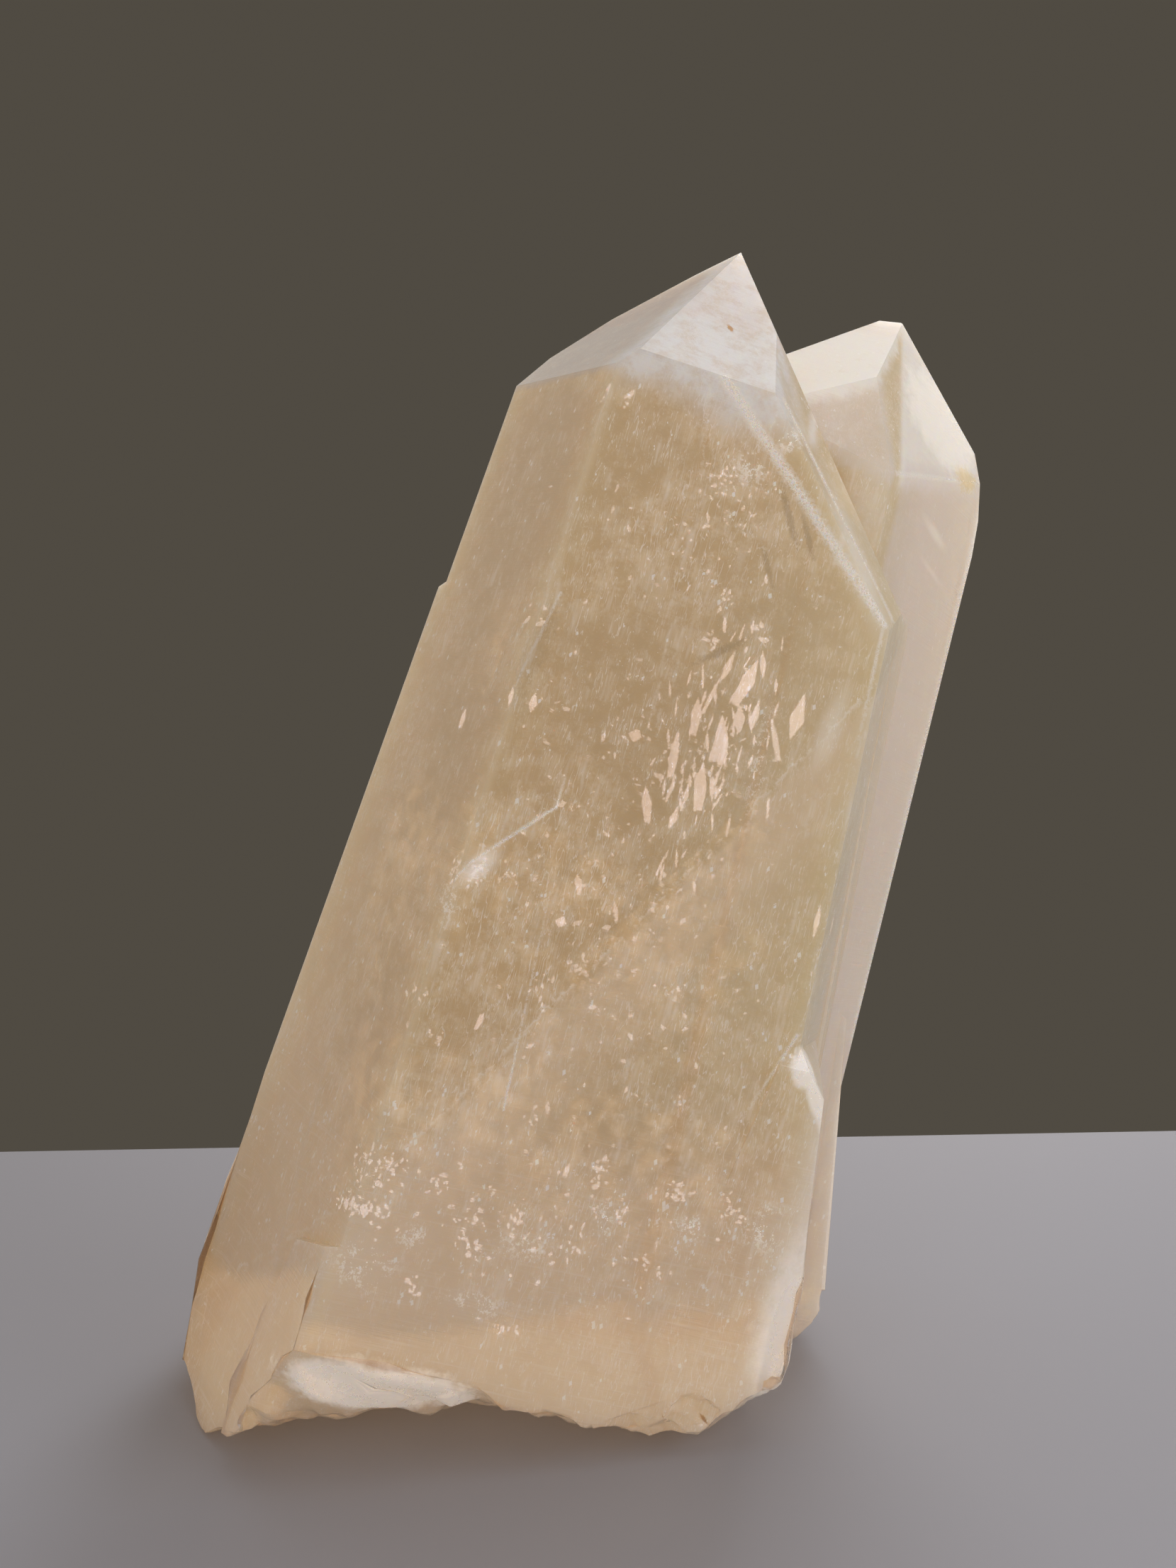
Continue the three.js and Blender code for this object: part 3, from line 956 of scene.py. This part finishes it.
def plateModel(name, sides, thickness, seed):
    # A thin uneven lozenge, 1 mm wide and long, that the breaks are copied from.
    dropSelection()
    bpy.ops.mesh.primitive_cylinder_add(
        vertices=sides, radius=plate["radius"], depth=thickness, end_fill_type="NGON",
    )
    model = bpy.context.object
    model.name = name
    pickFaces(model, lambda face: face.normal.z > 0.9)
    bpy.ops.transform.resize(value=plate["taper"])
    bpy.ops.transform.translate(value=plate["shift"])
    bpy.ops.mesh.select_all(action="SELECT")
    bpy.ops.transform.vertex_random(offset=plate["wobble"], seed=seed)
    closeMesh()
    return model


def plateModels(name, facts):
    return [plateModel(name, sides, facts["thickness"], seed) for sides, seed in facts["models"]]


def layPlate(model, centre, width, length, azimuth, rise, roll):
    # A copy of the model at a place in the crystal's axes, its flat side along the given facing.
    copy = model.copy()
    copy.data = model.data.copy()
    bpy.context.scene.collection.objects.link(copy)
    facing = facetNormal(azimuth, rise)
    upward = (Vector((0, 0, 1)) - facing * facing.z).normalized()
    sideways = upward.cross(facing)
    turned = Matrix((sideways, upward, facing)).transposed() @ Matrix.Rotation(math.radians(roll), 3, "Z")
    turn = (toCrystal.transposed() @ turned).to_4x4()
    size = Matrix.Diagonal((width, length, 1.0, 1.0))
    copy.matrix_world = Matrix.Translation(inPart(*centre)) @ turn @ size
    return copy


def drawAll(chance, spans):
    return [chance.uniform(low, high) for low, high in spans]


def plateLight(name, facts):
    # A thin bright break shines back light, lets light from behind glow through it and has a painted glow
    # of its own.
    material = bpy.data.materials.new(name)
    tree = freshTree(material)
    grain = noise(tree, crystalPlace(tree), *plate["grain"])
    grain = ramp(tree, grain, *plate["grainLimits"])
    tint = blendColour(tree, grain, facts["colour"], plate["grainColour"])
    shader = addNode(tree, "ShaderNodeBsdfPrincipled", sockets={
        "Base Color": tint, "Roughness": facts["roughness"],
        "Emission Color": facts["colour"], "Emission Strength": facts["paintedGlow"],
    })
    glow = addNode(tree, "ShaderNodeBsdfTranslucent", sockets={"Color": tint})
    showSurface(tree, blendShaders(tree, facts["through"], shader, glow))
    return material


def joinPlates(name, copies, models, material):
    dropSelection()
    for copy in copies:
        copy.select_set(True)
    bpy.context.view_layer.objects.active = copies[0]
    bpy.ops.object.join()
    joined = bpy.context.object
    joined.name = name
    joined.data.name = name
    applyPlace()
    joined.data.materials.clear()
    joined.data.materials.append(material)
    for model in models:
        bpy.data.objects.remove(model)
    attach(joined, "root")


def makeShards():
    chance = random.Random(shards["seed"])
    models = plateModels("plateModel", shards)
    copies = []
    for index, (centre, width, length) in enumerate(shards["large"]):
        at = [middle + shift for middle, shift in zip(centre, shards["shift"])]
        if not isInside(at, shards["cover"]):
            at = centre
        copies.append(layPlate(
            models[index % len(models)], at, width * shards["widen"], length * shards["stretch"],
            *drawAll(chance, shards["turns"]),
        ))
    for index in range(shards["splinters"]):
        at = [chance.gauss(middle, wide) for middle, wide in zip(shards["middle"], shards["spread"])]
        if isInside(at, shards["cover"]):
            model = models[index % len(models)]
            copies.append(layPlate(model, at, *drawAll(chance, shards["splinterSpans"])))
    joinPlates("innerShards", copies, models, plateLight("breakLight", shards))


def makeFlecks():
    chance = random.Random(flecks["seed"])
    models = plateModels("fleckModel", flecks)
    copies = []
    for centre, spread, count in flecks["clouds"]:
        for index in range(count):
            at = [chance.gauss(middle, wide * flecks["gather"]) for middle, wide in zip(centre, spread)]
            at[0] += flecks["lift"]
            if not isInside(at, flecks["cover"]):
                continue
            size = chance.uniform(*flecks["size"])
            if chance.random() < flecks["largeShare"]:
                size *= flecks["largeSize"]
            copies.append(layPlate(
                models[index % len(models)], at, size, size * chance.uniform(*flecks["stretch"]),
                *drawAll(chance, flecks["turns"]),
            ))
    joinPlates("innerFlecks", copies, models, plateLight("fleckWhite", flecks))


makeShards()
makeFlecks()
print("stage: shards and flecks set in")


# Healed cracks: thin curved veils inside the crystals.
veils = {
    "grid": (24, 16),
    "drift": ("CLOUDS", 0.012, 0.5, 0.0022, 2),  # as the crystal's relief
    "colour": (1.0, 0.95, 0.88, 1.0),
    "roughness": 0.4,
    "through": 0.55,
    "rim": 0.12,  # share of the length that fades out at each end
    "nearEdge": 0.25,  # of the far edge's softness
    "haze": (7.0, 0.72),
    "distortion": 0.4,
    "hazeLimits": (0.42, 0.66),
    # from, to and reach inwards from that line in the crystal's axes and mm, then the density,
    # the softness of the far edge and the grain
    "cracks": {
        "slantVeil": ((17.2, 15.3, 107.8), (19.8, -9.2, 67.5), (-7, 10, -13), 0.5, 0.10, 0.5),
        "lowerVeil": ((17.8, -9.0, 67.2), (19.1, -15.6, 46.1), (-6, 12, -6), 0.45, 0.12, 0.5),
        "whiteCrack": ((22.0, -15.9, 95.7), (22.7, -26.0, 83.9), (-7, 1.4, -0.6), 0.9, 0.3, 1.1),
        "whiteCrackFoot": ((22.7, -26.0, 83.9), (23.3, -30.4, 75.5), (-6, 1.0, -1.0), 0.8, 0.3, 1.1),
        "topSeam": ((19.3, -15.4, 106.9), (20.0, -15.9, 95.0), (-5, 1.0, 0.4), 0.7, 0.3, 0.9),
        "thinSeam": ((19.7, -13.7, 83.7), (21.8, -11.7, 51.4), (-6, 0.7, 0.2), 0.55, 0.2, 0.8),
        "curvedVeil": ((15.5, -10.0, 166.1), (16.2, -8.2, 153.0), (-5, 2.4, 0.5), 0.8, 0.3, 0.9),
        "smallCrystalSeam": ((22.8, 28.5, 66.6), (23.8, 23.4, 51.6), (-6, 1.2, -0.8), 0.7, 0.3, 0.9),
        "shoulderVeil": ((14.0, -25.1, 126.3), (15.2, -27.8, 108.5), (-3, -9, -2), 0.4, 0.08, 0.4),
        "leftDeepVeil": ((14.1, -36.0, 94.2), (16.4, -30.1, 56.7), (-12, -6, 2), 0.35, 0.2, 0.35),
        "deepVeil": ((-4, -36, 96), (0, 30, 84), (5, 3, -36), 0.45, 0.35, 0.22),
        "footVeil": ((10, -34, 56), (12, 32, 54), (4, 2, -34), 0.5, 0.3, 0.25),
    },
}


def veilMaterial(name, density, edge, grain):
    # White where the crack healed unevenly, clear between, fading to its rim.
    material = bpy.data.materials.new(name)
    tree = freshTree(material)
    sheet = addNode(tree, "ShaderNodeUVMap").outputs[0]
    split = addNode(tree, "ShaderNodeSeparateXYZ", sockets={0: sheet}).outputs
    haze = noise(tree, crystalPlace(tree), grain, *veils["haze"], distortion=veils["distortion"])
    rim, near = veils["rim"], edge * veils["nearEdge"]
    limits = [("X", 0.0, rim), ("X", 1.0, 1.0 - rim), ("Y", 0.0, near), ("Y", 1.0, edge)]
    cover = limitMask(tree, split, limits, ramp(tree, haze, *veils["hazeLimits"]))
    shader = addNode(tree, "ShaderNodeBsdfPrincipled", sockets={
        "Base Color": veils["colour"], "Roughness": veils["roughness"],
    })
    glow = addNode(tree, "ShaderNodeBsdfTranslucent", sockets={"Color": veils["colour"]})
    solid = blendShaders(tree, veils["through"], shader, glow)
    clear = addNode(tree, "ShaderNodeBsdfTransparent")
    showSurface(tree, blendShaders(tree, times(tree, cover, density), clear, solid))
    return material


def makeVeil(name, start, end, reach, density, edge, grain):
    start, end, reach = Vector(start), Vector(end), Vector(reach)
    run = end - start
    reach -= run * (reach.dot(run) / run.length_squared)
    facing = run.cross(reach).normalized()
    across, inwards = veils["grid"]
    dropSelection()
    bpy.ops.mesh.primitive_grid_add(x_subdivisions=across, y_subdivisions=inwards, size=1.0, calc_uvs=True)
    veil = bpy.context.object
    veil.name = name
    veil.data.name = name
    middle = (start + end + reach) / 2
    turn = toCrystal.transposed() @ Matrix((run, reach, facing)).transposed()
    veil.matrix_world = Matrix.Translation(inPart(*middle)) @ (turn * 0.001).to_4x4()  # mm to metres
    applyPlace()
    pushSurface(veil, name, *veils["drift"])
    veil.data.materials.append(veilMaterial(name, density, edge, grain))
    bpy.ops.object.shade_smooth()
    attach(veil, "root")


for veilName, veilFacts in veils["cracks"].items():
    makeVeil(veilName, *veilFacts)
print("stage: veils set in")


studio = {
    "floorSize": (1.2, 0.62),
    "floorBack": 0.105,
    "floorLevel": -0.0002,
    "floorColour": (0.22, 0.215, 0.238, 1.0),
    "floorRoughness": 0.6,
    "wallColour": (0.080, 0.070, 0.055, 1.0),  # what the camera sees behind the crystal
    "dimSide": (0.10, 0.095, 0.085, 1),
    "brightSide": (0.9, 0.88, 0.84, 1),
    "brightness": 0.8,
    # the surroundings brighten upwards and to the back: axis, start, end and share
    "brightWays": [("Z", -0.3, 0.9, 0.35), ("Y", -0.6, 0.9, 0.4)],
}


def makeFloor():
    width, depth = studio["floorSize"]
    dropSelection()
    place = (0.0, studio["floorBack"] - depth / 2, studio["floorLevel"])
    bpy.ops.mesh.primitive_plane_add(size=1.0, location=place)
    floor = bpy.context.object
    floor.name = "studioFloor"
    floor.scale = (width, depth, 1.0)
    applyPlace()
    material = bpy.data.materials.new("paleFloor")
    tree = freshTree(material)
    showSurface(tree, addNode(tree, "ShaderNodeBsdfPrincipled", sockets={
        "Base Color": studio["floorColour"], "Roughness": studio["floorRoughness"],
    }))
    floor.data.materials.append(material)


def makeSurroundings():
    world = bpy.data.worlds.new("softStudio")
    bpy.context.scene.world = world
    tree = freshTree(world)
    direction = addNode(tree, "ShaderNodeTexCoord").outputs["Generated"]
    split = addNode(tree, "ShaderNodeSeparateXYZ", sockets={0: direction}).outputs
    bright = 0.0
    for axis, low, high, share in studio["brightWays"]:
        bright = number(tree, "ADD", times(tree, ramp(tree, split[axis], low, high), share), bright)
    soft = blendColour(tree, bright, studio["dimSide"], studio["brightSide"])
    lit = addNode(tree, "ShaderNodeBackground", sockets={"Color": soft, "Strength": studio["brightness"]})
    seen = addNode(tree, "ShaderNodeBackground", sockets={"Color": studio["wallColour"]})
    isSeen = addNode(tree, "ShaderNodeLightPath").outputs["Is Camera Ray"]
    showSurface(tree, blendShaders(tree, isSeen, lit, seen), "ShaderNodeOutputWorld")


lamps = {
    "backPanel": {"place": (0.16, 0.60, 0.34), "aim": (0, 0, 0.09), "size": (0.5, 0.4), "power": 6.0,
                  "colour": (1.0, 0.96, 0.90), "throughGlass": False, "inGloss": False},
    "rightFill": {"place": (0.62, -0.22, 0.36), "aim": (0, 0, 0.1), "size": (0.5, 0.5), "power": 3.0,
                  "colour": (1.0, 1.0, 1.0), "throughGlass": False, "inGloss": True},
    "overhead": {"place": (0.10, 0.02, 0.60), "aim": (0, 0, 0.1), "size": (0.4, 0.4), "power": 0.5,
                 "colour": (0.97, 0.98, 1.0), "throughGlass": True, "inGloss": True},
    "frontFill": {"place": (-0.16, -0.70, 0.24), "aim": (0, 0, 0.1), "size": (0.7, 0.7), "power": 2.8,
                  "colour": (1.0, 0.98, 0.97), "throughGlass": False, "inGloss": False},
}


def addLamp(name, facts):
    dropSelection()
    bpy.ops.object.light_add(type="AREA", location=facts["place"])
    lamp = bpy.context.object
    lamp.name = name
    lamp.data.shape = "RECTANGLE"
    lamp.data.size, lamp.data.size_y = facts["size"]
    lamp.data.energy = facts["power"]
    lamp.data.color = facts["colour"]
    lamp.visible_transmission = facts["throughGlass"]
    lamp.visible_glossy = facts["inGloss"]
    aim = Vector(facts["aim"]) - Vector(facts["place"])
    lamp.rotation_euler = aim.to_track_quat("-Z", "Y").to_euler()


makeFloor()
makeSurroundings()
for lampName, lampFacts in lamps.items():
    addLamp(lampName, lampFacts)
bpy.context.scene.view_settings.view_transform = "Standard"
print("stage: floor and lamps set")
